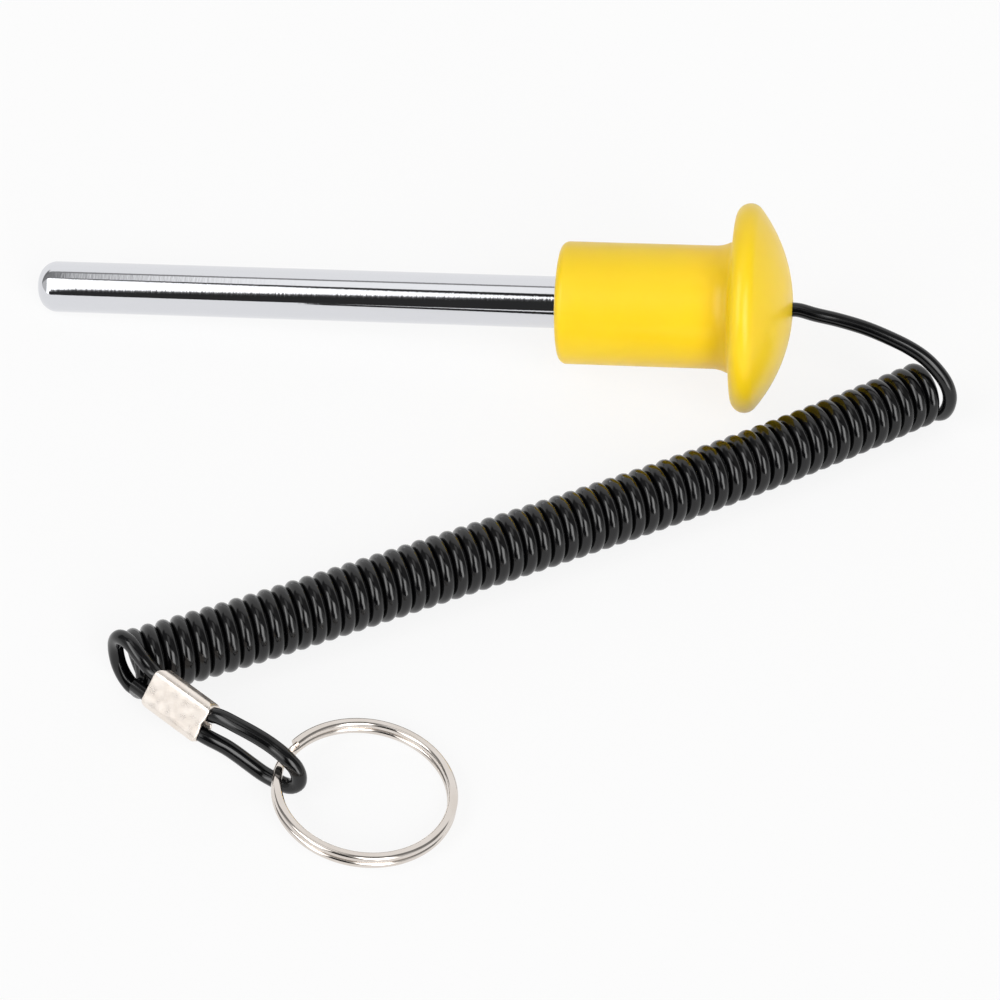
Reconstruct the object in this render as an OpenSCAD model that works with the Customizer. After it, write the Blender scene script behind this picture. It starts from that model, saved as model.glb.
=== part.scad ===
// Weight stack pin with a moulded knob and a coiled lanyard.
// The pin lies at rest on z = 0: the knob's rim and the pin's nose touch the surface,
// and the lanyard lies beside them. +X runs from the nose towards the knob.

/* [Pin] */
// Diameter of the rod
pin_d = 10; // [8:0.5:12]
// Length of rod that stands out of the knob
pin_reach = 103.8; // [70:0.1:140]
// Radius of the nose's domed end
nose_dome_r = 8; // [6:0.5:12]
// Radius of the rounding between the nose's dome and the rod
nose_round = 3.5; // [2.5:0.5:3.5]
// Diameter of the turned-down tail that the knob is moulded on
tail_d = 9; // [6:0.5:9.5]
// Length of the tail inside the knob
tail_len = 22; // [14:1:24]
// Number of retaining grooves round the tail
tail_grooves = 3; // [0:1:4]
// Width of each retaining groove
groove_w = 1.5; // [1:0.5:2]
// Depth of each retaining groove
groove_depth = 0.5; // [0.3:0.1:0.8]

/* [Knob] */
// Diameter of the knob's grip
grip_d = 23.6; // [20:0.2:28]
// Rounding of the grip's front edge
grip_round = 1.6; // [1:0.1:3]
// Distance from the front face to the underside of the cap
grip_len = 33.4; // [30:0.1:40]
// Radius of the flare where the grip meets the cap
neck_r = 5.8; // [2:0.2:6.4]
// Angle that the flare turns through
neck_sweep = 40; // [20:5:60]
// Diameter of the cap
cap_d = 40; // [36:1:46]
// Rounding of the cap's rim
rim_r = 2.6; // [2:0.1:3.2]
// Whole length of the knob
knob_len = 44.6; // [42:0.1:48]
// Radial clearance between the tail and the knob
tail_fit = 0.05; // [0.05:0.05:0.2]

/* [Cord] */
// Diameter of the cord
cord_d = 2.75; // [2:0.25:3.25]
// Outer diameter of the coiled stretch
coil_od = 12.4; // [11:0.2:14]
// Radial clearance of the hole that the cord leaves the knob by
cord_hole_fit = 0.15; // [0.1:0.05:0.3]
// Countersink round the mouth of the cord hole
mouth_chamfer = 0.4; // [0.2:0.1:0.6]

/* [Cord stop] */
// Length of the sleeve crimped on the inner end of the cord
stop_len = 5; // [4:0.5:6]
// Diameter of the sleeve
stop_d = 5.5; // [5:0.25:6.5]
// Radial clearance between the sleeve and its pocket
stop_fit = 0.3; // [0.2:0.1:0.5]
// Free length in the pocket behind the sleeve
stop_play = 2; // [1:0.5:3]
// Clearance between the cord and a sleeve crimped on it
crimp_fit = 0.05; // [0.05:0.05:0.1]

/* [Ferrule] */
// Length of the ferrule
ferrule_len = 12.9; // [9:0.1:15]
// Thickness of its folded sheet
sheet = 0.45; // [0.3:0.05:0.6]
// Distance between the two strands that it holds
strand_gap = 3.8; // [3.4:0.1:4.5]
// Rounding of its long edges
edge_round = 1.3; // [0.8:0.1:1.6]
// Rounding of the corners of its faces
corner_round = 1.4; // [0.6:0.1:2]
// How far each strand's half bulges at the loop's end
lobe = 0.4; // [0.2:0.1:0.8]
// Width of the open seam along the back
seam = 0.3; // [0.2:0.1:0.6]
// Length of cord that sticks out behind the ferrule
stub = 3.5; // [2:0.5:6]

/* [Split ring] */
// Outer diameter of the split ring
ring_od = 31.6; // [27:0.2:36]
// Width of its wire, measured across the ring
wire_w = 1.7; // [1.4:0.1:2.4]
// Thickness of one turn of the wire
wire_t = 1.3; // [1.25:0.05:1.4]
// Rounding of the wire's edges
wire_round = 0.6; // [0.3:0.05:0.6]
// Gap between the two turns
turn_gap = 0.1; // [0.05:0.05:0.2]
// Angle over which the wire crosses from one turn to the other
cross_angle = 26; // [20:2:40]
// Angle of the bare step between a cut end and the crossing
end_gap = 3; // [2:1:6]

/* [Hidden] */
$fn = 96;
eps = 0.01;
cord_sides = 8;
coil_sides = 16;
steel = "#C9CCD0";
nickel = "#D8D2C8";
yellow = "#FBD720";
black = "#1B1C1E";

// Nose: a dome centred on the axis, tangent to a corner arc, tangent to the rod.
nose_y = pin_d / 2 - nose_round;
nose_run = nose_dome_r - sqrt(pow(nose_dome_r - nose_round, 2) - pow(nose_y, 2));

// Cap: a dome centred on the axis, tangent to the rim's arc.
rim_x = grip_len + rim_r;
rim_y = cap_d / 2 - rim_r;
dome_back = rim_x - knob_len;
dome_r = (rim_r * rim_r - rim_y * rim_y - dome_back * dome_back) / (2 * (dome_back + rim_r));
dome_x = knob_len - dome_r;

// Where the cord is anchored inside the knob.
cord_r = cord_d / 2;
hole_r = cord_r + cord_hole_fit;
pocket_r = stop_d / 2 + stop_fit;
pocket_end = tail_len + stop_play + stop_len;

// Rest: the rim and the nose touch the surface, so the axis climbs towards the knob.
rest_run = rim_x + pin_reach - nose_run;
rest_rise = rim_y - nose_y;
lean = atan2(rest_rise, rest_run) + asin((rim_r - nose_round) / norm([rest_run, rest_rise]));
face_z = (pin_reach - nose_run) * sin(lean) + nose_y * cos(lean) + nose_round;
nose_end = (nose_dome_r - pin_reach) * cos(lean) - nose_dome_r;
cap_end = dome_x * cos(lean) + dome_r;
face_x = -(nose_end + cap_end) / 2;

// A point on the knob's axis, measured from its front face.
function on_axis(a) = [face_x + a * cos(lean), 0, face_z + a * sin(lean)];

// The coil's axis on the surface, from the ring's end to the knob's end.
coil_z = coil_od / 2;
coil_plan = [
    [-33.1, -95.7], [-15.6, -85], [1.6, -73.8], [18.7, -62.5], [35.8, -51.1],
    [52.7, -39.6], [69.4, -27.6], [85.7, -15.1], [101.6, -2.2]
];
coil_route = [for (p = coil_plan) [p.x, p.y, coil_z]];

// The lead from the knob to the coil: out of the apex, down and under the coil's end.
lead_free = [
    [78, -0.5, 20.7], [82.4, -0.7, 20.2], [87.9, -1.4, 19.5], [92.6, -2.3, 18.5], [96.4, -3.1, 17.4],
    [99.5, -4, 16.1], [102.2, -5, 14.2], [104.3, -5.9, 11.9], [105.4, -6.4, 9.3],
    [105.5, -6.3, 6.5], [104.9, -5.5, 3.9], [103.6, -4.2, 2.3], [101.7, -2.7, 1.6], [100, -3.4, 1.6]
];
lead_inside = [for (a = [pocket_end - stop_len, pocket_end, knob_len - 1, knob_len + 1]) on_axis(a)];
lead_route = concat(lead_inside, lead_free);

// The ferrule leans over the coil's front, one strand above the other.
ferrule_at = [-23.2, -105.9, 8.5];
ferrule_turn = [61.2, 0.6, -33.3];
strand_y = strand_gap / 2;
mouth_x = ferrule_len / 2;
function turn_x(p, a) = [p.x, p.y * cos(a) - p.z * sin(a), p.y * sin(a) + p.z * cos(a)];
function turn_y(p, a) = [p.x * cos(a) + p.z * sin(a), p.y, p.z * cos(a) - p.x * sin(a)];
function turn_z(p, a) = [p.x * cos(a) - p.y * sin(a), p.x * sin(a) + p.y * cos(a), p.z];
function in_ferrule(p) =
    ferrule_at + turn_z(turn_y(turn_x(p, ferrule_turn.x), ferrule_turn.y), ferrule_turn.z);

// The tail: the coil's opened last turn, through the ferrule, round the ring and back.
last_turn = [
    [-31, -96.8, 1.45], [-32.3, -97.4, 1.4], [-33.7, -97.2, 1.6], [-35.1, -96.4, 2.6],
    [-36.4, -95.4, 4.6], [-37.1, -94.5, 7.5], [-36.9, -94.6, 10.1], [-35.8, -95.5, 12.2],
    [-33.8, -97.1, 12.9], [-31.5, -99, 11.8]
];
ring_loop = [
    [-16.2, -108.7, 10.3], [-14.7, -109.3, 10.4], [-12.65, -110.1, 10.2], [-10.5, -110.8, 9.8],
    [-8.3, -111.5, 9.2], [-6.3, -112.2, 8.5], [-4.6, -113.05, 8], [-3.1, -113.9, 7.3],
    [-1.9, -114.4, 6.2], [-1.3, -114.8, 4.7], [-1.4, -115, 3.1], [-2.5, -114.9, 1.9],
    [-3.95, -114.4, 1.4], [-5.6, -113.7, 1.4], [-7.9, -112.8, 1.75], [-10.2, -112.1, 2.9],
    [-12.35, -111.55, 4.2], [-14.5, -111.1, 5.4]
];
tail_route = concat(
    last_turn,
    [for (x = [-mouth_x - 1, mouth_x - 0.5]) in_ferrule([x, strand_y, 0])],
    ring_loop,
    [for (x = [mouth_x - 0.5, -mouth_x - stub]) in_ferrule([x, -strand_y, 0])]
);

// The split ring leans on the cord's loop: one side rests on the surface, the other is high.
ring_mean_r = (ring_od - wire_w) / 2;
turn_step = wire_t + turn_gap;
stack = turn_step + wire_t;
ring_at = [10, -115];
ring_tilt = 6.5;
ring_high = 206.5;
cross_at = 168;
ring_z = (ring_od / 2 - wire_round) * sin(ring_tilt) + wire_round
    + (stack / 2 - wire_round) * cos(ring_tilt);

// Sweeping a section along a route: one hoop of points for each point of the route.
function unit(v) = v / norm(v);
function heading(route, i) =
    unit(route[min(i + 1, len(route) - 1)] - route[max(i - 1, 0)]);
function side_of(route, i) =
    let (t = heading(route, i))
    let (n = i == 0 ? cross(t, [0, 0, 1]) : side_of(route, i - 1))
    unit(n - (n * t) * t);
function hoop(route, i, r, sides) =
    let (t = heading(route, i), n = side_of(route, i), b = cross(t, n))
    [for (k = [0:sides - 1]) route[i] + r * (cos(k * 360 / sides) * n + sin(k * 360 / sides) * b)];

module sweep(hoops) {
    sides = len(hoops[0]);
    count = len(hoops);
    points = [for (h = hoops) each h];
    walls = [
        for (i = [0:count - 2], k = [0:sides - 1])
            let (a = i * sides + k, b = i * sides + (k + 1) % sides)
            each [[a, b + sides, b], [a, a + sides, b + sides]]
    ];
    start = [for (k = [0:sides - 1]) k];
    finish = [for (k = [sides - 1:-1:0]) (count - 1) * sides + k];
    polyhedron(points = points, faces = concat([start], walls, [finish]), convexity = 6);
}

module tube(route, r, sides) {
    sweep([for (i = [0:len(route) - 1]) hoop(route, i, r, sides)]);
}

// Outlines of turned parts are drawn with the radius along x and the axis along y.
module turned() {
    translate([face_x, 0, face_z])
        rotate([0, 90 - lean, 0])
            rotate_extrude()
                children();
}

module band(r, a0, a1) {
    translate([0, a0]) square([r, a1 - a0]);
}

// The slice of a dome between the axis and the line through its centre and another centre.
module dome(centre, r, other) {
    away = other - [0, centre];
    far = 4 * r;
    intersection() {
        translate([0, centre]) circle(r);
        polygon([[0, centre], [0, centre + sign(away.y) * far], [0, centre] + far * unit(away)]);
    }
}

// The tail's outline, or with a fit the cavity that is moulded round it.
module tail_outline(fit) {
    pitch = tail_len / (tail_grooves + 1);
    difference() {
        band(tail_d / 2 + fit, -eps, tail_len + fit);
        for (i = [1:1:tail_grooves])
            translate([tail_d / 2 - groove_depth + fit, i * pitch - groove_w / 2 + fit])
                square([tail_d, groove_w - 2 * fit]);
    }
}

module pin() {
    color(steel)
        turned() {
            dome(nose_dome_r - pin_reach, nose_dome_r, [nose_y, nose_run - pin_reach]);
            intersection() {
                translate([nose_y, nose_run - pin_reach]) circle(nose_round);
                translate([0, -pin_reach]) square([pin_d, nose_run]);
            }
            band(pin_d / 2, nose_run - pin_reach, 0);
            tail_outline(0);
        }
}

module knob() {
    flare_run = neck_r * sin(neck_sweep);
    flare_rise = neck_r * (1 - cos(neck_sweep));
    grip_r = grip_d / 2;
    color(yellow)
        turned()
            difference() {
                union() {
                    translate([grip_r - grip_round, grip_round]) circle(grip_round);
                    band(grip_r - grip_round, 0, grip_len);
                    band(grip_r, grip_round, grip_len);
                    difference() {
                        band(grip_r + flare_rise, grip_len - flare_run, grip_len);
                        translate([grip_r + neck_r, grip_len - flare_run]) circle(neck_r);
                    }
                    band(rim_y, grip_len, rim_x);
                    translate([rim_y, rim_x]) circle(rim_r);
                    intersection() {
                        dome(dome_x, dome_r, [rim_y, rim_x]);
                        band(cap_d, grip_len, knob_len + 1);
                    }
                }
                tail_outline(tail_fit);
                band(pocket_r, tail_len, pocket_end);
                band(hole_r, tail_len, knob_len + 1);
                translate([0, knob_len - mouth_chamfer])
                    polygon([
                        [0, 0], [hole_r, 0],
                        [hole_r + 2 * mouth_chamfer, 2 * mouth_chamfer], [0, 2 * mouth_chamfer]
                    ]);
            }
}

module cord_stop() {
    color(nickel)
        turned()
            translate([cord_r + crimp_fit, pocket_end - stop_len])
                square([stop_d / 2 - cord_r - crimp_fit, stop_len]);
}

module cord_lead() {
    color(black) tube(lead_route, cord_r, cord_sides);
}

module cord_coil() {
    color(black) tube(coil_route, coil_od / 2, coil_sides);
}

module cord_tail() {
    color(black) tube(tail_route, cord_r, cord_sides);
}

// The folded sheet seen along the strands: flat faces, with the strands side by side inside.
module sheet_section() {
    bore = cord_r + crimp_fit;
    thick = bore + sheet;
    half = strand_y + thick;
    difference() {
        rounded(half, thick, edge_round);
        for (y = [-strand_y, strand_y]) translate([y, 0]) circle(bore);
        square([strand_gap, 2 * bore], center = true);
        translate([-seam / 2, -thick - 1]) square([seam, thick + 1]);
    }
}

// A rectangle of two half widths, with rounded corners.
module rounded(half_x, half_y, r) {
    square([2 * half_x, 2 * (half_y - r)], center = true);
    square([2 * (half_x - r), 2 * half_y], center = true);
    for (i = [-1, 1], k = [-1, 1]) translate([i * (half_x - r), k * (half_y - r)]) circle(r);
}

// The sheet seen face on: straight at the coil's end, with two shallow lobes at the loop's end.
module sheet_plan() {
    half = strand_y + cord_r + crimp_fit + sheet;
    lobe_r = (half * half / 4 + lobe * lobe) / (2 * lobe);
    intersection() {
        rounded(mouth_x, half, corner_round);
        union() {
            translate([-ferrule_len, -half]) square([ferrule_len + mouth_x - lobe, 2 * half]);
            for (y = [-half / 2, half / 2]) translate([mouth_x - lobe_r, y]) circle(lobe_r);
        }
    }
}

module ferrule() {
    color(nickel)
        translate(ferrule_at)
            rotate(ferrule_turn)
                intersection() {
                    rotate([90, 0, 90])
                        translate([0, 0, -ferrule_len])
                            linear_extrude(2 * ferrule_len)
                                sheet_section();
                    translate([0, 0, -cord_d])
                        linear_extrude(2 * cord_d)
                            sheet_plan();
                }
}

// The wire's section, with its middle at the ring's mean radius.
module wire_section() {
    x = wire_w / 2 - wire_round;
    y = wire_t / 2 - wire_round;
    translate([ring_mean_r, 0]) {
        for (i = [-1, 1], k = [-1, 1]) translate([i * x, k * y]) circle(wire_round);
        square([2 * x, wire_t], center = true);
        square([wire_w, 2 * y], center = true);
    }
}

// The step where the wire crosses from the lower turn to the upper one: a short arc,
// tilted about the radius through its middle so that each end meets its turn.
module crossing() {
    half = cross_angle / 2;
    climb = atan2(turn_step / 2, ring_mean_r * sin(half));
    rotate([climb, 0, 0])
        rotate([0, 0, -half])
            rotate_extrude(angle = cross_angle) wire_section();
}

module split_ring() {
    span = 360 - cross_angle - end_gap;
    color(nickel)
        translate([ring_at.x, ring_at.y, ring_z])
            rotate([0, -ring_tilt, ring_high])
                rotate([0, 0, cross_at - ring_high]) {
                    rotate([0, 0, cross_angle / 2 + end_gap])
                        translate([0, 0, -turn_step / 2])
                            rotate_extrude(angle = span) wire_section();
                    rotate([0, 0, cross_angle / 2])
                        translate([0, 0, turn_step / 2])
                            rotate_extrude(angle = span) wire_section();
                    crossing();
                }
}

pin();
knob();
cord_stop();
cord_lead();
cord_coil();
cord_tail();
ferrule();
split_ring();
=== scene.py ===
"""Looks for a weight stack selector pin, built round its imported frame: a chrome plated rod in a
moulded knob, a coiled cord, a crimped ferrule and a split ring.

Metres, +Z up, lying on the floor at z = 0. Sizes and routes are written in mm, as in the part's
source, and become metres by MM where a mesh is made."""
import math

import bpy
import numpy as np
from mathutils import Matrix, Vector


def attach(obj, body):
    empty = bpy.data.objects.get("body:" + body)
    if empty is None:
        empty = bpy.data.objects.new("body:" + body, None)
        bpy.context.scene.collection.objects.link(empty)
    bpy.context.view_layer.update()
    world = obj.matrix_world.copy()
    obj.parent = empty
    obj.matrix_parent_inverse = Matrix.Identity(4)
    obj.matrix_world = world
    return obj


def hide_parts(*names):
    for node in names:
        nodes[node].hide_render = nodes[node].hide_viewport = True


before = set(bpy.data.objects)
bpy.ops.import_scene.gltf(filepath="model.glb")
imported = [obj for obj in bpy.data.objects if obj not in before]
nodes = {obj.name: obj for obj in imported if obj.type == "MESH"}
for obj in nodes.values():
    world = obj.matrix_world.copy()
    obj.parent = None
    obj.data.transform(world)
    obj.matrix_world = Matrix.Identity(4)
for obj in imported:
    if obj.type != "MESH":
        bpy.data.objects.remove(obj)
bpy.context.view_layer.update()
scene = bpy.context.scene
MM = 0.001

# ------------------------------------------------------------------ camera
CAMERA_AT = (0.05825, -0.42578, 0.38944)
CAMERA_LOOKS = (-0.06357, 0.70290, -0.70844)
CAMERA_SIDEWAYS = (0.9909, 0.1289, 0.0390)
camera = bpy.data.objects.new("camera", bpy.data.cameras.new("camera"))
scene.collection.objects.link(camera)
scene.camera = camera
camera.data.sensor_width = 36.0
camera.data.lens = 105.685
camera.data.clip_start = 0.05
camera.data.clip_end = 20.0
look = Vector(CAMERA_LOOKS).normalized()
up = Vector(CAMERA_SIDEWAYS).cross(look).normalized()
right = look.cross(up)
camera.matrix_world = (Matrix.Translation(CAMERA_AT)
                       @ Matrix((right, up, -look)).transposed().to_4x4())

# ------------------------------------------------------------------ sizes, the same as the source's
# The rod, and the grooved tail inside the knob.
PIN_D, PIN_REACH, NOSE_DOME_R, NOSE_ROUND = 10.0, 103.8, 8.0, 3.5
TAIL_D, TAIL_LEN, GROOVES, GROOVE_W, GROOVE_DEPTH = 9.0, 22.0, 3, 1.5, 0.5
# The knob: its grip, the flare at its neck and its cap.
GRIP_D, GRIP_ROUND, GRIP_LEN = 23.6, 1.6, 33.4
NECK_R, NECK_SWEEP = 5.8, math.radians(40)
CAP_D, RIM_R, KNOB_LEN, TAIL_FIT = 40.0, 2.6, 44.6, 0.05
# The cord, its hole in the cap, and the stop crimped on its inner end.
CORD_D, COIL_OD, HOLE_FIT, MOUTH_CHAMFER = 2.75, 12.4, 0.15, 0.4
STOP_LEN, STOP_D, STOP_FIT, STOP_PLAY = 5.0, 5.5, 0.3, 2.0
# The ferrule, a folded sheet round two strands, and the cut end of cord behind it.
FERRULE_LEN, SHEET, CRIMP_FIT, STRAND_GAP = 12.9, 0.45, 0.05, 3.8
EDGE_ROUND, CORNER_ROUND, LOBE, SEAM, STUB = 1.3, 1.4, 0.4, 0.3, 3.5
# The split ring, its wire, and how it lies: centre, tilt, and the headings of its high side and crossing.
RING_OD, WIRE_W, WIRE_T, WIRE_ROUND, TURN_GAP = 31.6, 1.7, 1.3, 0.6, 0.1
CROSS_ANGLE, END_GAP = math.radians(26), math.radians(3)
RING_AT, RING_TILT, RING_HIGH, CROSS_AT = (10.0, -115.0), 6.5, 206.5, 168.0

# Where the nose's and the cap's arcs meet; the distances run along the axis, or out from it.
nose_y = PIN_D / 2 - NOSE_ROUND
nose_run = NOSE_DOME_R - math.sqrt((NOSE_DOME_R - NOSE_ROUND) ** 2 - nose_y ** 2)
rim_x, rim_y = GRIP_LEN + RIM_R, CAP_D / 2 - RIM_R
dome_back = rim_x - KNOB_LEN
dome_r = (RIM_R ** 2 - rim_y ** 2 - dome_back ** 2) / (2 * (dome_back + RIM_R))
dome_x = KNOB_LEN - dome_r
cord_r = CORD_D / 2
hole_r = cord_r + HOLE_FIT
pocket_end = TAIL_LEN + STOP_PLAY + STOP_LEN
# The nose and the cap's rim both touch the floor, so the axis leans; the footprint's middle is x = 0.
rest_run, rest_rise = rim_x + PIN_REACH - nose_run, rim_y - nose_y
lean = (math.atan2(rest_rise, rest_run)
        + math.asin((RIM_R - NOSE_ROUND) / math.hypot(rest_run, rest_rise)))
face_z = (PIN_REACH - nose_run) * math.sin(lean) + nose_y * math.cos(lean) + NOSE_ROUND
nose_end = (NOSE_DOME_R - PIN_REACH) * math.cos(lean) - NOSE_DOME_R
cap_end = dome_x * math.cos(lean) + dome_r
face_x = -(nose_end + cap_end) / 2


def on_axis(a):
    """A point on the pin's axis, a from the knob's front face."""
    return np.array([face_x + a * math.cos(lean), 0.0, face_z + a * math.sin(lean)])


# ------------------------------------------------------------------ the cord's route
def smooth(points, step):
    """Centripetal curve through the points, resampled about every `step`."""
    p = [np.asarray(q, float) for q in points]
    p = [2 * p[0] - p[1]] + p + [2 * p[-1] - p[-2]]
    out = []
    for a, b, c, d in zip(p, p[1:], p[2:], p[3:]):
        t1 = math.sqrt(np.linalg.norm(b - a))
        t2 = t1 + math.sqrt(np.linalg.norm(c - b))
        t3 = t2 + math.sqrt(np.linalg.norm(d - c))
        count = max(2, math.ceil(np.linalg.norm(c - b) / step))
        for t in t1 + (t2 - t1) * np.arange(count) / count:
            ab = a + (b - a) * t / t1
            bc = b + (c - b) * (t - t1) / (t2 - t1)
            cd = c + (d - c) * (t - t2) / (t3 - t2)
            abc = ab + (bc - ab) * t / t2
            bcd = bc + (cd - bc) * (t - t1) / (t3 - t1)
            out.append(abc + (bcd - abc) * (t - t1) / (t2 - t1))
    return np.array(out + [p[-2]])


ROUTE_STEP, AXIS_STEP, LEAST_STEP = 0.6, 0.5, 0.3
coil_plan = [(-33.1, -95.7), (-15.6, -85), (1.6, -73.8), (18.7, -62.5), (35.8, -51.1),
             (52.7, -39.6), (69.4, -27.6), (85.7, -15.1), (101.6, -2.2)]
coil_axis = smooth([(x, y, COIL_OD / 2) for x, y in coil_plan], AXIS_STEP)
coil_s = np.concatenate([[0], np.cumsum(np.linalg.norm(np.diff(coil_axis, axis=0), axis=1))])
turn_r = (COIL_OD - CORD_D) / 2
# Turns are counted from the ring's end. The tables say how far along the coil the tops of some of them
# lie: close wound at the ring's end, opening a little towards the knob's.
FIRST_TURN, LAST_TURN, TURN_POINTS, AHEAD_REACH = -0.5, 57.5, 36, 1.5
top_turn = [-1, 0, 5, 10, 15, 20, 25, 30, 35, 40, 45, 50, 55, 57, 58]
top_s = [-2.55, 0.2, 13.9, 27.4, 40.95, 54.7, 68.6, 82.5, 96.3, 110.9, 126.05, 140.95, 155.85, 161.9,
         164.9]


def axis_point(s):
    """The point of the coil's axis at s along it, held at its ends."""
    return np.array([np.interp(s, coil_s, coil_axis[:, k]) for k in range(3)])


def coil_point(turn):
    """A point of the cord's centreline on the coil; whole turns are at its top."""
    s = float(np.interp(turn, top_turn, top_s))
    near, far = axis_point(s - AHEAD_REACH), axis_point(s + AHEAD_REACH)
    ahead = (far - near) / np.linalg.norm(far - near)
    inside = min(max(s, 0.0), coil_s[-1])
    middle = axis_point(inside) + (s - inside) * ahead
    front = np.array([ahead[1], -ahead[0], 0.0])
    angle = math.pi / 2 + 2 * math.pi * turn
    return middle + turn_r * (math.cos(angle) * front + math.sin(angle) * np.array([0, 0, 1.0]))


lead_free = [(78, -0.5, 20.7), (82.4, -0.7, 20.2), (87.9, -1.4, 19.5), (92.6, -2.3, 18.5),
             (96.4, -3.1, 17.4), (99.5, -4, 16.1), (102.2, -5, 14.2), (104.3, -5.9, 11.9),
             (105.4, -6.4, 9.3), (105.5, -6.3, 6.5), (104.9, -5.5, 3.9), (103.6, -4.2, 2.3)]
lead_inside = [on_axis(a) for a in (pocket_end - STOP_LEN, pocket_end, KNOB_LEN - 1, KNOB_LEN + 1)]

# The ferrule lies along its own X, with the strands side by side along its Y and the loop's end at +X.
FERRULE_AT = (-23.2, -105.9, 8.5)
FERRULE_TURN = (50.0, 0.6, -33.3)
mouth, strand = FERRULE_LEN / 2, STRAND_GAP / 2


def turning(x, y, z):
    """Turned about X, then Y, then Z, in degrees."""
    return (Matrix.Rotation(math.radians(z), 4, "Z") @ Matrix.Rotation(math.radians(y), 4, "Y")
            @ Matrix.Rotation(math.radians(x), 4, "X"))


ferrule_place = Matrix.Translation(FERRULE_AT) @ turning(*FERRULE_TURN)
# The strands run straight from a little behind the ferrule to just short of its loop's end.
BEHIND, SHORT_OF = 1.0, 0.5
last_turn = [(-32.3, -97.4, 1.4), (-33.7, -97.2, 1.6), (-35.1, -96.4, 2.6), (-36.4, -95.4, 4.6),
             (-37.1, -94.5, 7.5), (-36.9, -94.6, 10.1), (-35.8, -95.5, 12.2), (-33.8, -97.1, 12.9),
             (-31.5, -99, 11.8)]
ring_loop = [(-16.2, -108.7, 10.3), (-14.7, -109.3, 10.4), (-12.65, -110.1, 10.2), (-10.5, -110.8, 9.8),
             (-8.3, -111.5, 9.2), (-6.3, -112.2, 8.5), (-4.6, -113.05, 8), (-3.1, -113.9, 7.3),
             (-1.9, -114.4, 6.2), (-1.3, -114.8, 4.7), (-1.4, -115, 3.1), (-2.5, -114.9, 1.9),
             (-3.95, -114.4, 1.4), (-5.6, -113.7, 1.4), (-7.9, -112.8, 1.75), (-10.2, -112.1, 2.9),
             (-12.35, -111.55, 4.2), (-14.5, -111.1, 5.4)]
upper, lower = ([ferrule_place @ Vector((x, y, 0)) for x in ends] for y, ends in (
    (strand, (-mouth - BEHIND, mouth - SHORT_OF)), (-strand, (mouth - SHORT_OF, -mouth - STUB))))
tail = last_turn + upper + ring_loop + lower

# The lead and the tail also pass through a second point of the helix, HELD points on, to run into it
# smoothly, and are then cut off where it starts and ends. The tail still turns back for 1.4 mm there,
# a known fault: the helix ends just past the first point of last_turn.
HELD = 4
helix = [coil_point(turn) for turn in np.arange(LAST_TURN, FIRST_TURN, -1 / TURN_POINTS)]
start = smooth(lead_inside + lead_free + [helix[0], helix[HELD]], ROUTE_STEP)
start = start[:np.argmin(np.linalg.norm(start - helix[0], axis=1))]
end = smooth([helix[-1 - HELD], helix[-1]] + tail, ROUTE_STEP)
end = end[np.argmin(np.linalg.norm(end - helix[-1], axis=1)) + 1:]
route = [start[0]]
for point in np.vstack([start, helix, end])[1:]:
    if np.linalg.norm(point - route[-1]) > LEAST_STEP:
        route.append(point)
route = np.array(route) * MM


# ------------------------------------------------------------------ making pieces
def add(tree, kind, inputs=None, **settings):
    """Adds a node with its settings; each input takes a value or another node's output."""
    made = tree.nodes.new(kind)
    for key, value in settings.items():
        setattr(made, key, value)
    for key, value in (inputs or {}).items():
        if isinstance(value, bpy.types.NodeSocket):
            tree.links.new(value, made.inputs[key])
        else:
            made.inputs[key].default_value = value
    return made


def linear(colour):
    """Linear RGBA of an sRGB hex colour."""
    parts = [int(colour[i:i + 2], 16) / 255 for i in (1, 3, 5)]
    return tuple(v / 12.92 if v <= 0.04045 else ((v + 0.055) / 1.055) ** 2.4 for v in parts) + (1.0,)


def piece(name, verts, faces, edges=()):
    """A new object at the origin, with its place in its mesh."""
    mesh = bpy.data.meshes.new(name)
    mesh.from_pydata([tuple(v) for v in verts], list(edges), faces)
    obj = bpy.data.objects.new(name, mesh)
    scene.collection.objects.link(obj)
    return obj


def finish_surface(obj, material, crease=35):
    """Smooth faces, but creased where they meet at more than `crease` degrees."""
    obj.data.materials.clear()
    obj.data.materials.append(material)
    obj.data.polygons.foreach_set("use_smooth", [True] * len(obj.data.polygons))
    obj.data.set_sharp_from_angle(angle=math.radians(crease))


def geometry_tree(name, sizes):
    """A node tree for a modifier, its sizes named: {"Name": (socket type, value)}."""
    tree = bpy.data.node_groups.new(name, "GeometryNodeTree")
    for label, (kind, value) in sizes.items():
        socket = tree.interface.new_socket(name=label, in_out="INPUT", socket_type=kind)
        if value is not None:
            socket.default_value = value
    tree.interface.new_socket(name="Geometry", in_out="OUTPUT", socket_type="NodeSocketGeometry")
    return tree, add(tree, "NodeGroupInput").outputs


def end_tree(tree, shape, material):
    """Instances made real, the material set, and out."""
    real = add(tree, "GeometryNodeRealizeInstances", {"Geometry": shape})
    coated = add(tree, "GeometryNodeSetMaterial", {"Geometry": real.outputs[0], "Material": material})
    add(tree, "NodeGroupOutput", {"Geometry": coated.outputs[0]})


def grow(name, base, tree, values, place):
    """Runs the tree on base with the named values, and keeps the result as a plain mesh in its place."""
    modifier = base.modifiers.new(tree.name, "NODES")
    modifier.node_group = tree
    for item in tree.interface.items_tree:
        if item.item_type == "SOCKET" and item.in_out == "INPUT" and item.name in values:
            modifier[item.identifier] = values[item.name]
    graph = bpy.context.evaluated_depsgraph_get()
    mesh = bpy.data.meshes.new_from_object(base.evaluated_get(graph), depsgraph=graph)
    base.modifiers.clear()
    bpy.data.objects.remove(base)
    mesh.name = name
    mesh.transform(place)
    obj = bpy.data.objects.new(name, mesh)
    scene.collection.objects.link(obj)
    return obj


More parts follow.
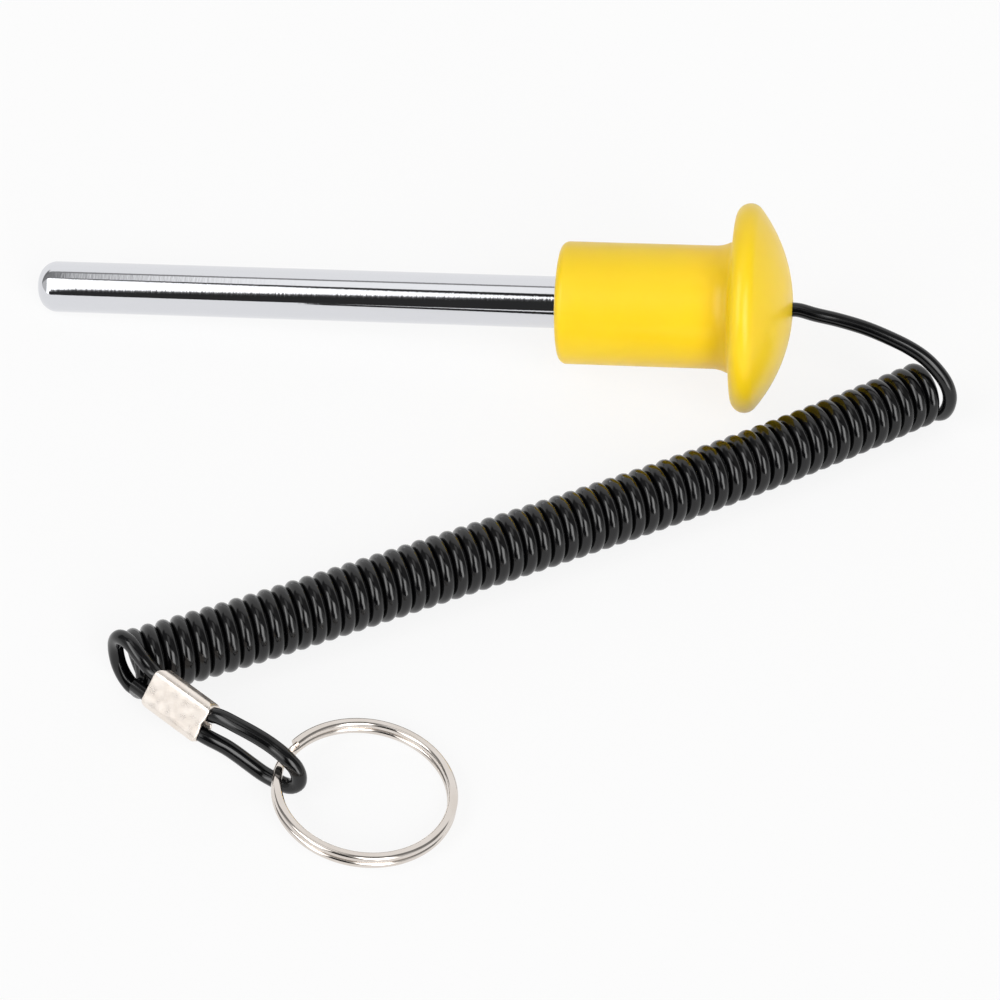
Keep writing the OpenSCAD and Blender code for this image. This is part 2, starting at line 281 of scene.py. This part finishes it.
def arc(centre, radius, first, last, count):
    """Points of an arc, its angles in degrees from the first coordinate's direction to the second's."""
    return [(centre[0] + radius * math.cos(math.radians(t)), centre[1] + radius * math.sin(math.radians(t)))
            for t in np.linspace(first, last, count)]


# ------------------------------------------------------------------ finishes
def finish(name, colour, rough, metal=0.0, **sockets):
    """A material with a Principled shader; what is the same all over goes on its own sockets."""
    material = bpy.data.materials.new(name)
    material.use_nodes = True
    tree = material.node_tree
    shader = tree.nodes["Principled BSDF"]
    shader.inputs["Base Color"].default_value = linear(colour)
    shader.inputs["Roughness"].default_value = rough
    shader.inputs["Metallic"].default_value = metal
    for label, value in sockets.items():
        shader.inputs[label.replace("_", " ")].default_value = value
    return material, tree, shader


def along_pin(tree):
    """Object coordinates turned so that X runs along the pin's axis, from the knob's front face."""
    place = add(tree, "ShaderNodeTexCoord")
    moved = add(tree, "ShaderNodeVectorMath",
                {0: place.outputs["Object"], 1: tuple(-v * MM for v in on_axis(0))}, operation="ADD")
    return add(tree, "ShaderNodeVectorRotate", {"Vector": moved.outputs[0], "Angle": lean},
               rotation_type="Y_AXIS").outputs[0]


NOISE_LOW, NOISE_HIGH = 0.3, 0.7


def vary(tree, vector, size_mm, low, high, detail=3.0):
    """A noise of patches size_mm across, mapped to low..high."""
    noise = add(tree, "ShaderNodeTexNoise",
                {"Vector": vector, "Scale": 1 / (size_mm * MM), "Detail": detail})
    return add(tree, "ShaderNodeMapRange",
               {"Value": noise.outputs["Fac"], "From Min": NOISE_LOW, "From Max": NOISE_HIGH,
                "To Min": low, "To Max": high}).outputs[0]


def dress(tree, shader, rough, height, depth_mm, tones=None, strength=1.0):
    """Links a finish's small changes to its shader: its roughness, its relief of height 0..1 and
    depth_mm deep, and its tones, (share, first, second), two close colours."""
    tree.links.new(rough, shader.inputs["Roughness"])
    relief = add(tree, "ShaderNodeBump", {"Height": height, "Distance": depth_mm * MM,
                                          "Strength": strength})
    tree.links.new(relief.outputs[0], shader.inputs["Normal"])
    if tones:
        share, first, second = tones
        tint = add(tree, "ShaderNodeMix", {0: share, 6: linear(first), 7: linear(second)},
                   data_type="RGBA")
        tree.links.new(tint.outputs[2], shader.inputs["Base Color"])


# Chrome plated steel: ground round, polished and plated, so it mirrors the studio in long clean bands.
# Grinding leaves fine rings that soften them a little, and use leaves short scratches across the rod
# that fray their edges. Both are finer in truth, and drawn 0.2 and 0.5 mm apart so that they show.
SCRATCH_SHARE = 0.35
chrome, tree, shader = finish("chrome_plated_steel", "#DBDCE0", 0.045, 1.0)
at = along_pin(tree)
ground = add(tree, "ShaderNodeMapping", {"Vector": at, "Scale": (1.0, 0.03, 0.03)}).outputs[0]
worn = add(tree, "ShaderNodeMapping", {"Vector": at, "Scale": (1.0, 0.25, 0.25)}).outputs[0]
rough = add(tree, "ShaderNodeMath", {0: vary(tree, at, 9.0, 0.03, 0.065),
                                     1: vary(tree, ground, 0.2, -0.008, 0.008, 1.0)}, operation="ADD")
height = add(tree, "ShaderNodeMath", {0: vary(tree, worn, 0.5, 0.0, 1.0), 1: SCRATCH_SHARE,
                                      2: vary(tree, at, 14.0, 0.0, 1.0, 1.0)}, operation="MULTIPLY_ADD")
dress(tree, shader, rough.outputs[0], height.outputs[0], 0.012)

# Moulded polypropylene: a deep warm yellow, satin from the polished mould, a little light passing
# under the skin. The mould's fine grain is drawn 0.35 mm across, coarser than it is, so that it shows.
yellow, tree, shader = finish("moulded_polypropylene", "#FFD91F", 0.34, 0.0, Specular_IOR_Level=0.42,
                              IOR=1.49, Subsurface_Weight=0.12, Subsurface_Scale=0.0015)
shader.inputs["Subsurface Radius"].default_value = (1.0, 0.6, 0.15)
at = along_pin(tree)
dress(tree, shader, vary(tree, at, 5.0, 0.31, 0.38), vary(tree, at, 0.35, 0.0, 1.0, 2.0), 0.003,
      (vary(tree, at, 12.0, 0.0, 1.0, 2.0), "#FFD81E", "#FDD41A"), strength=0.6)

# Extruded polyurethane jacket: black and glossy, with faint draw lines along it from the die.
jacket, tree, shader = finish("extruded_polyurethane", "#040405", 0.12, 0.0, Specular_IOR_Level=0.5,
                              IOR=1.47)
uv = add(tree, "ShaderNodeUVMap", uv_map="along")
drawn = add(tree, "ShaderNodeMapping", {"Vector": uv.outputs[0], "Scale": (1.0, 0.02, 1.0)}).outputs[0]
at = add(tree, "ShaderNodeTexCoord").outputs["Object"]
dress(tree, shader, vary(tree, at, 3.0, 0.11, 0.18), vary(tree, drawn, 0.5, 0.0, 1.0, 1.0), 0.008,
      (vary(tree, at, 6.0, 0.0, 1.0), "#030304", "#070708"))

# Bright nickel plate: warmer and a touch greyer than chrome, with the slight waviness of bent wire.
nickel, tree, shader = finish("bright_nickel_plate", "#DDD6CF", 0.06, 1.0)
at = add(tree, "ShaderNodeTexCoord").outputs["Object"]
dress(tree, shader, vary(tree, at, 2.0, 0.03, 0.08), vary(tree, at, 3.0, 0.0, 1.0, 1.0), 0.02,
      (vary(tree, at, 4.0, 0.0, 1.0), "#E0D9D3", "#D8D0C8"))

# The same nickel on the ferrule's soft sheet, which the crimping tool has flattened and clouded.
pressed, tree, shader = finish("nickel_plated_pressed_sheet", "#F3EAE1", 0.3, 1.0)
at = add(tree, "ShaderNodeTexCoord").outputs["Object"]
dress(tree, shader, vary(tree, at, 1.5, 0.26, 0.36), vary(tree, at, 2.2, 0.0, 1.0, 0.0), 0.005,
      (vary(tree, at, 2.5, 0.0, 1.0), "#F6EEE6", "#EFE5DB"))

# ------------------------------------------------------------------ turned pieces
# The outline is swept round a circle of radius LATHE_R, so the outline's own radii start from there.
LATHE_R, WELD = 0.01, 1e-6
lathe, given = geometry_tree("lathe", {"Geometry": ("NodeSocketGeometry", None),
                                       "Steps": ("NodeSocketInt", 128),
                                       "Finish": ("NodeSocketMaterial", None)})
outline = add(lathe, "GeometryNodeMeshToCurve", {"Mesh": given["Geometry"]})
circle = add(lathe, "GeometryNodeCurvePrimitiveCircle",
             {"Resolution": given["Steps"], "Radius": LATHE_R})
flat = add(lathe, "GeometryNodeSetCurveNormal", {"Curve": circle.outputs[0]}, mode="Z_UP")
turned = add(lathe, "GeometryNodeCurveToMesh",
             {"Curve": flat.outputs[0], "Profile Curve": outline.outputs[0]})
closed = add(lathe, "GeometryNodeMergeByDistance", {"Geometry": turned.outputs[0], "Distance": WELD})
end_tree(lathe, closed.outputs[0], given["Finish"])

knob_place = Matrix.Translation(on_axis(0) * MM) @ Matrix.Rotation(math.pi / 2 - lean, 4, "Y")


def turn(name, points, material, steps=128, crease=35):
    """Turns an outline of (radius, distance along the axis) points about the pin's axis."""
    base = piece(name + "_outline", [(r * MM - LATHE_R, -a * MM, 0) for r, a in points], [],
                 [(i, i + 1) for i in range(len(points) - 1)])
    obj = grow(name, base, lathe, {"Steps": steps, "Finish": material}, knob_place)
    finish_surface(obj, material, crease)
    return obj


# The pin: its nose from the tip to the shank, and the grooved tail that the knob is moulded round.
meet = math.degrees(math.atan2(nose_run - NOSE_DOME_R, nose_y))
nose = (arc((0, NOSE_DOME_R - PIN_REACH), NOSE_DOME_R, -90, meet, 10)
        + arc((nose_y, nose_run - PIN_REACH), NOSE_ROUND, meet, 0, 14)[1:])
pitch = TAIL_LEN / (GROOVES + 1)
tail_side = []
for i in range(1, GROOVES + 1):
    lo, hi = i * pitch - GROOVE_W / 2, i * pitch + GROOVE_W / 2
    tail_side += [(TAIL_D / 2, lo), (TAIL_D / 2 - GROOVE_DEPTH, lo),
                  (TAIL_D / 2 - GROOVE_DEPTH, hi), (TAIL_D / 2, hi)]
shank = [(PIN_D / 2, a) for a in np.linspace(nose_run - PIN_REACH, 0, 24)[1:]]
pin_outline = nose + shank + [(TAIL_D / 2, 0)] + tail_side + [(TAIL_D / 2, TAIL_LEN), (0, TAIL_LEN)]
pin = turn("chrome_pin", pin_outline, chrome)

# The flare curves out of the grip, and a small blend turns it into the flat underside of the cap.
BLEND, FACE_EASE = 2.2, 0.4
grip_r = GRIP_D / 2
flare_run = NECK_R * math.sin(NECK_SWEEP)
flare_rise = NECK_R * (1 - math.cos(NECK_SWEEP))
turn_in = (math.pi / 2 - NECK_SWEEP) / 2
corner = np.array([grip_r + flare_rise, GRIP_LEN])
heading = np.array([math.sin(NECK_SWEEP), math.cos(NECK_SWEEP)])
blend_from = corner - BLEND * math.tan(turn_in) * heading
blend_at = blend_from + BLEND * np.array([heading[1], -heading[0]])
flare = [p for p in arc((grip_r + NECK_R, GRIP_LEN - flare_run), NECK_R, 180,
                        180 - math.degrees(NECK_SWEEP), 14) if p[1] < blend_from[1]]
blend = arc(blend_at, BLEND, 180 - math.degrees(NECK_SWEEP), 90, 10)
rim_meet = math.degrees(math.atan2(rim_x - dome_x, rim_y))
mouth_z = dome_x + math.sqrt(dome_r ** 2 - (hole_r + MOUTH_CHAMFER) ** 2)
dome_end = 90 - math.degrees(math.asin((hole_r + MOUTH_CHAMFER) / dome_r))
pocket_r, seat_r = STOP_D / 2 + STOP_FIT, TAIL_D / 2 + TAIL_FIT
knob_outline = (
    [(seat_r, TAIL_LEN), (seat_r, 0), (PIN_D / 2 + FACE_EASE, 0)]
    + arc((grip_r - GRIP_ROUND, GRIP_ROUND), GRIP_ROUND, -90, 0, 12)
    + [(grip_r, a) for a in np.linspace(GRIP_ROUND, GRIP_LEN - flare_run, 10)[1:-1]]
    + flare + blend
    + arc((rim_y, rim_x), RIM_R, -90, rim_meet, 22)
    + arc((0, dome_x), dome_r, rim_meet, dome_end, 30)[1:]
    + [(hole_r, mouth_z - MOUTH_CHAMFER), (hole_r, pocket_end), (pocket_r, pocket_end),
       (pocket_r, TAIL_LEN), (seat_r, TAIL_LEN)])
knob = turn("moulded_knob", knob_outline, yellow, steps=160, crease=40)

# ------------------------------------------------------------------ split ring: one wire, wound twice
winding, given = geometry_tree("ring_winding", {
    "Geometry": ("NodeSocketGeometry", None), "Mean Radius": ("NodeSocketFloat", 0.01),
    "Wire Width": ("NodeSocketFloat", 0.002), "Wire Thickness": ("NodeSocketFloat", 0.001),
    "Edge Round": ("NodeSocketFloat", 0.0005), "Turn Step": ("NodeSocketFloat", 0.001),
    "First Angle": ("NodeSocketFloat", 0.0), "Last Angle": ("NodeSocketFloat", 12.0),
    "Crossing": ("NodeSocketFloat", 0.4), "Steps": ("NodeSocketInt", 400),
    "Finish": ("NodeSocketMaterial", None)})
line = add(winding, "GeometryNodeCurvePrimitiveLine", {"Start": (0, 0, 0), "End": (1, 0, 0)})
steps = add(winding, "GeometryNodeResampleCurve", {"Curve": line.outputs[0], "Count": given["Steps"]})
along = add(winding, "GeometryNodeSplineParameter")
angle = add(winding, "ShaderNodeMapRange",
            {"Value": along.outputs["Factor"], "To Min": given["First Angle"],
             "To Max": given["Last Angle"]})
half = add(winding, "ShaderNodeMath", {0: given["Crossing"], 1: 0.5}, operation="MULTIPLY")
before = add(winding, "ShaderNodeMath", {0: 2 * math.pi, 1: half.outputs[0]}, operation="SUBTRACT")
after = add(winding, "ShaderNodeMath", {0: 2 * math.pi, 1: half.outputs[0]}, operation="ADD")
rise = add(winding, "ShaderNodeMath", {0: given["Turn Step"], 1: 0.5}, operation="MULTIPLY")
drop = add(winding, "ShaderNodeMath", {0: given["Turn Step"], 1: -0.5}, operation="MULTIPLY")
climb = add(winding, "ShaderNodeMapRange",
            {"Value": angle.outputs[0], "From Min": before.outputs[0], "From Max": after.outputs[0],
             "To Min": drop.outputs[0], "To Max": rise.outputs[0]}, interpolation_type="SMOOTHSTEP")
across = [add(winding, "ShaderNodeMath", {0: angle.outputs[0]}, operation=o).outputs[0]
          for o in ("COSINE", "SINE")]
x, y = (add(winding, "ShaderNodeMath", {0: a, 1: given["Mean Radius"]}, operation="MULTIPLY").outputs[0]
        for a in across)
spot = add(winding, "ShaderNodeCombineXYZ", {"X": x, "Y": y, "Z": climb.outputs[0]})
wound = add(winding, "GeometryNodeSetPosition",
            {"Geometry": steps.outputs[0], "Position": spot.outputs[0]})
level = add(winding, "GeometryNodeSetCurveNormal", {"Curve": wound.outputs[0]}, mode="Z_UP")
strip = add(winding, "GeometryNodeCurvePrimitiveQuadrilateral",
            {"Width": given["Wire Width"], "Height": given["Wire Thickness"]})
rounded = add(winding, "GeometryNodeFilletCurve",
              {"Curve": strip.outputs[0], "Radius": given["Edge Round"], "Count": 5}, mode="POLY")
wire = add(winding, "GeometryNodeCurveToMesh",
           {"Curve": level.outputs[0], "Profile Curve": rounded.outputs[0], "Fill Caps": True})
end_tree(winding, wire.outputs[0], given["Finish"])

# The fillet stays a hair under the wire's rounding, so that its corners never meet.
FILLET_EASE = 0.01
turn_step = WIRE_T + TURN_GAP
ring_z = ((RING_OD / 2 - WIRE_ROUND) * math.sin(math.radians(RING_TILT)) + WIRE_ROUND
          + ((turn_step + WIRE_T) / 2 - WIRE_ROUND) * math.cos(math.radians(RING_TILT)))
ring_place = (Matrix.Translation(Vector((*RING_AT, ring_z)) * MM)
              @ turning(0, -RING_TILT, RING_HIGH) @ turning(0, 0, CROSS_AT - RING_HIGH))
first_angle = CROSS_ANGLE / 2 + END_GAP
ring = grow("split_ring_wire", piece("ring_start", [(0, 0, 0)], []), winding, {
    "Mean Radius": (RING_OD - WIRE_W) / 2 * MM, "Wire Width": WIRE_W * MM,
    "Wire Thickness": WIRE_T * MM, "Edge Round": (WIRE_ROUND - FILLET_EASE) * MM,
    "Turn Step": turn_step * MM, "First Angle": first_angle, "Last Angle": 4 * math.pi - first_angle,
    "Crossing": CROSS_ANGLE, "Steps": 480, "Finish": nickel}, ring_place)
finish_surface(ring, nickel, crease=50)


# ------------------------------------------------------------------ ferrule: a sheet round two strands
EDGE_POINTS, FLAT_STEPS, FACE_STEPS = 10, 5, 10
bore_r = cord_r + CRIMP_FIT
half_thick = bore_r + SHEET
half_wide = strand + half_thick


def ferrule_loop(side):
    """Points (y, z) of the section, from one side of the seam round to the other: the sheet's outer
    face or, with as many points, its bore."""
    if side == "inner":
        edge = arc((strand, 0), bore_r, -90, 90, 2 * EDGE_POINTS + 1)
    else:
        middle_y, middle_z = half_wide - EDGE_ROUND, half_thick - EDGE_ROUND
        edge = (arc((middle_y, -middle_z), EDGE_ROUND, -90, 0, EDGE_POINTS) + [(half_wide, 0)]
                + arc((middle_y, middle_z), EDGE_ROUND, 0, 90, EDGE_POINTS))
    edge_y, z = edge[0]
    flat = [(SEAM / 2 + (edge_y - SEAM / 2) * k / FLAT_STEPS, z) for k in range(FLAT_STEPS)]
    face = [(edge_y - 2 * edge_y * k / FACE_STEPS, -z) for k in range(1, FACE_STEPS)]
    return flat + edge + face + [(-y, z) for y, z in reversed(flat + edge)]


def ferrule_end(y, loop_side):
    """How far from the middle the sheet's edge lies, at y across it."""
    past = max(0.0, abs(y) - half_wide + CORNER_ROUND)
    reach = mouth - CORNER_ROUND + math.sqrt(max(0.0, CORNER_ROUND ** 2 - past ** 2))
    if loop_side:
        lobe_r = (half_wide ** 2 / 4 + LOBE ** 2) / (2 * LOBE)
        off_lobe = abs(y) - half_wide / 2
        reach = min(reach, mouth - lobe_r + math.sqrt(max(0.0, lobe_r ** 2 - off_lobe ** 2)))
    return reach


# The sheet's cut edges are rounded over: shares of its thickness, and how far back each lies.
ROUND_OVER, EDGE_BACK = 0.14, 0.6
EDGE_STEPS = [(0.0, EDGE_BACK), (0.12, 0.15), (0.3, 0.0), (0.7, 0.0), (0.88, 0.15), (1.0, EDGE_BACK)]
SIDE_SHARES = [0.01, 0.03] + [k / 14 for k in range(1, 14)] + [0.97, 0.99]
# Each point of the section becomes a hoop, out along the outer face and back along the bore.
verts, faces = [], []
outer, inner = ferrule_loop("outer"), ferrule_loop("inner")
for (oy, oz), (iy, iz) in zip(outer, inner):
    hoop = []
    for share, back in EDGE_STEPS:
        y, z = iy + (oy - iy) * share, iz + (oz - iz) * share
        hoop.append((-ferrule_end(y, False) + back * ROUND_OVER, y, z))
    lo, hi = hoop[-1][0], ferrule_end(oy, True) - EDGE_BACK * ROUND_OVER
    hoop += [(lo + (hi - lo) * share, oy, oz) for share in SIDE_SHARES]
    for share, back in reversed(EDGE_STEPS):
        y, z = iy + (oy - iy) * share, iz + (oz - iz) * share
        hoop.append((ferrule_end(y, True) - back * ROUND_OVER, y, z))
    verts += [ferrule_place @ Vector(p) * MM for p in hoop]
per = len(hoop)
for i in range(len(outer) - 1):
    for k in range(per):
        n = (k + 1) % per
        faces.append((i * per + k, i * per + n, (i + 1) * per + n, (i + 1) * per + k))
faces += [tuple(range(per))[::-1], tuple(range((len(outer) - 1) * per, len(outer) * per))]
ferrule = piece("crimped_ferrule", verts, faces)
finish_surface(ferrule, pressed, crease=50)


# ------------------------------------------------------------------ cord
def tube(name, points, radius, sides, material):
    """A closed tube along the points. Its map "along" is in metres: round the tube, and along it."""
    points = np.asarray(points, float)
    ahead = np.gradient(points, axis=0)
    ahead /= np.linalg.norm(ahead, axis=1)[:, None]
    side = np.cross(ahead[0], (0, 0, 1.0))
    angles = np.linspace(0, 2 * math.pi, sides, endpoint=False)[:, None]
    verts = []
    for p, t in zip(points, ahead):
        side = side - t * (side @ t)
        side /= np.linalg.norm(side)
        verts += list(p + radius * (np.cos(angles) * side + np.sin(angles) * np.cross(t, side)))
    last = (len(points) - 1) * sides
    faces = [(i + k, i + (k + 1) % sides, i + (k + 1) % sides + sides, i + k + sides)
             for i in range(0, last, sides) for k in range(sides)]
    faces += [tuple(range(sides))[::-1], tuple(range(last, last + sides))]
    obj = piece(name, verts, faces)
    length_at = np.concatenate([[0], np.cumsum(np.linalg.norm(np.diff(points, axis=0), axis=1))])
    uv = obj.data.uv_layers.new(name="along").data
    girth = 2 * math.pi * radius
    spot = 0
    for i in range(len(points) - 1):
        for k in range(sides):
            for du, dv in ((0, 0), (1, 0), (1, 1), (0, 1)):
                uv[spot].uv = ((k + du) / sides * girth, length_at[i + dv])
                spot += 1
    finish_surface(obj, material, crease=60)
    return obj


CORD_SIDES = 20
cord = tube("lanyard_cord", route, cord_r * MM, CORD_SIDES, jacket)

for made, body, node, slot in ((pin, "pin_and_cord", "pin", "pin_steel"),
                               (knob, "pin_and_cord", "knob", "yellow_plastic"),
                               (ferrule, "pin_and_cord", "ferrule", "nickel_plate"),
                               (ring, "ring", "split_ring", "nickel_plate")):
    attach(made, body)
    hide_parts(node)
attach(cord, "pin_and_cord")
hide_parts("cord_lead", "cord_coil", "cord_tail")
nodes["cord_stop"].data.materials.clear()
nodes["cord_stop"].data.materials.append(nickel)


# ------------------------------------------------------------------ studio
paper, tree, shader = finish("matt_white_floor", "#F0F0F0", 0.9, 0.0, Specular_IOR_Level=0.2)
# The camera and mirrors see the floor washed towards white, with its shadows still on it.
FLOOR_WASH, FLOOR_HALF, FLOOR_BELOW = 0.86, 3, 0.0002
path = add(tree, "ShaderNodeLightPath")
shown = add(tree, "ShaderNodeMath",
            {0: path.outputs["Is Camera Ray"], 1: path.outputs["Is Glossy Ray"]}, operation="MAXIMUM")
seen = add(tree, "ShaderNodeMath", {0: shown.outputs[0], 1: FLOOR_WASH}, operation="MULTIPLY")
white = add(tree, "ShaderNodeEmission", {"Strength": 1.0})
washed = add(tree, "ShaderNodeMixShader", {0: seen.outputs[0], 1: shader.outputs[0], 2: white.outputs[0]})
tree.links.new(washed.outputs[0], tree.nodes["Material Output"].inputs["Surface"])
floor = piece("studio_floor", [(x * FLOOR_HALF, y * FLOOR_HALF, -FLOOR_BELOW)
                               for x, y in ((-1, -1), (1, -1), (1, 1), (-1, 1))], [(0, 1, 2, 3)])
floor.data.materials.append(paper)

# The studio round the object, as metal shows it: bright walls, a softbox to the left and a stronger one
# to the right of the front, a dim panel between them, and a dark room under the panel. It is laid out in
# bands about the pin's axis: angles in degrees from the front's horizon, 90 overhead and 180 behind.
# Along the axis, `aside` is 1 at the knob's end and -1 at the nose's. A band's upper edge may climb with
# `aside`, within the narrow range that the rod mirrors.
WALL, SIDE, LEFT, RIGHT, PANEL, DARK, BRIGHTEST = 1.0, 0.6, 5.0, 5.8, 1.6, 0.03, 8.0
ROD_ASIDE, ROD_RANGE = -0.132, (-0.31, -0.11)
left_box = [(-1, SIDE), (-0.7, SIDE), (-0.62, LEFT), (-0.45, LEFT), (-0.37, 0.5 * LEFT)]
right_box = [(0.2, SIDE), (0.32, RIGHT), (0.6, RIGHT), (0.74, SIDE), (1, SIDE)]
# Upper edge at ROD_ASIDE, its climb per unit of aside, its softness, and the levels in the band below it.
BANDS = [
    (-1.0, 0.0, 2.0, [(0, WALL)]),
    (18.0, 0.0, 6.0, [(-1, SIDE), (-0.72, SIDE), (-0.66, 0.5 * LEFT), (-0.56, 0.5 * LEFT), (-0.48, DARK),
                      (0.36, DARK), (0.46, RIGHT), (0.66, RIGHT), (0.78, SIDE), (1, SIDE)]),
    (44.0, 157.0, 3.0, left_box + [(-0.33, DARK), (0.06, DARK)] + right_box),
    (52.5, 157.0, 2.0, left_box + [(-0.33, 0.1), (0.06, 0.1)] + right_box),
    (62.5, -86.0, 2.0, left_box + [(-0.33, PANEL), (0.02, PANEL)] + right_box),
    (76.5, -24.0, 1.5, [(-1, 0.3), (-0.36, 0.3), (-0.29, DARK), (0.05, DARK), (0.25, 0.2), (1, 0.2)]),
    (107.0, 0.0, 1.5, [(-1, 0.25), (-0.32, 0.25), (-0.28, 0.62), (-0.25, 0.95), (-0.23, 1.12),
                       (0.06, 1.12), (0.22, 0.25), (1, 0.25)]),
    (115.0, 0.0, 1.5, [(-1, 0.2), (-0.5, 0.2), (-0.3, 0.3), (0.2, 0.3), (0.5, 0.2), (1, 0.2)]),
    (132.0, 0.0, 4.0, [(-1, 0.2), (-0.6, 0.2), (-0.45, WALL), (0.4, WALL), (0.6, 0.2), (1, 0.2)]),
]
# A matt surface gathers less from the studio than mirrors show of it, so that its colour renders as written.
MATT_SHARE = 0.67

studio = bpy.data.worlds.new("soft_studio")
scene.world = studio
studio.use_nodes = True
tree = studio.node_tree
tree.nodes.clear()
toward = add(tree, "ShaderNodeTexCoord").outputs["Generated"]
xyz = add(tree, "ShaderNodeSeparateXYZ", {0: toward})
aside = add(tree, "ShaderNodeVectorMath", {0: toward, 1: (math.cos(lean), 0, math.sin(lean))},
            operation="DOT_PRODUCT").outputs["Value"]
across = add(tree, "ShaderNodeMapRange", {"Value": aside, "From Min": -1.0, "From Max": 1.0}).outputs[0]
near_rod = add(tree, "ShaderNodeClamp", {"Value": aside, "Min": ROD_RANGE[0], "Max": ROD_RANGE[1]})
front = add(tree, "ShaderNodeMath", {0: xyz.outputs["Y"], 1: -1.0}, operation="MULTIPLY")
around = add(tree, "ShaderNodeMath", {0: xyz.outputs["Z"], 1: front.outputs[0]}, operation="ARCTAN2")
level = None
for at, climb, soft, stops in reversed(BANDS):
    ramp = add(tree, "ShaderNodeValToRGB", {0: across})
    marks = ramp.color_ramp.elements
    while len(marks) < len(stops):
        marks.new(0.5)
    while len(marks) > len(stops):
        marks.remove(marks[-1])
    for mark, (where, bright) in zip(marks, stops):
        mark.position = (where + 1) / 2
        mark.color = (bright / BRIGHTEST,) * 3 + (1.0,)
    edge = add(tree, "ShaderNodeMath", {0: near_rod.outputs[0], 1: math.radians(climb),
                                        2: math.radians(at - ROD_ASIDE * climb)},
               operation="MULTIPLY_ADD")
    past = add(tree, "ShaderNodeMath", {0: around.outputs[0], 1: edge.outputs[0]}, operation="SUBTRACT")
    above = add(tree, "ShaderNodeMapRange",
                {"Value": past.outputs[0], "From Min": -math.radians(soft),
                 "From Max": math.radians(soft)}, interpolation_type="SMOOTHSTEP")
    higher = WALL / BRIGHTEST if level is None else level.outputs[0]
    level = add(tree, "ShaderNodeMix", {0: above.outputs[0], 3: higher})
    tree.links.new(ramp.outputs[0], level.inputs[2])
path = add(tree, "ShaderNodeLightPath")
gathered = add(tree, "ShaderNodeMapRange", {"Value": path.outputs["Is Diffuse Ray"],
                                            "To Min": BRIGHTEST, "To Max": BRIGHTEST * MATT_SHARE})
strength = add(tree, "ShaderNodeMath", {0: level.outputs[0], 1: gathered.outputs[0]},
               operation="MULTIPLY")
lit = add(tree, "ShaderNodeBackground", {"Color": (1, 1, 1, 1), "Strength": strength.outputs[0]})
plain = add(tree, "ShaderNodeBackground", {"Color": (1, 1, 1, 1), "Strength": 1.0})
both = add(tree, "ShaderNodeMixShader",
           {0: path.outputs["Is Camera Ray"], 1: lit.outputs[0], 2: plain.outputs[0]})
add(tree, "ShaderNodeOutputWorld", {"Surface": both.outputs[0]})

scene.view_settings.view_transform = "Standard"
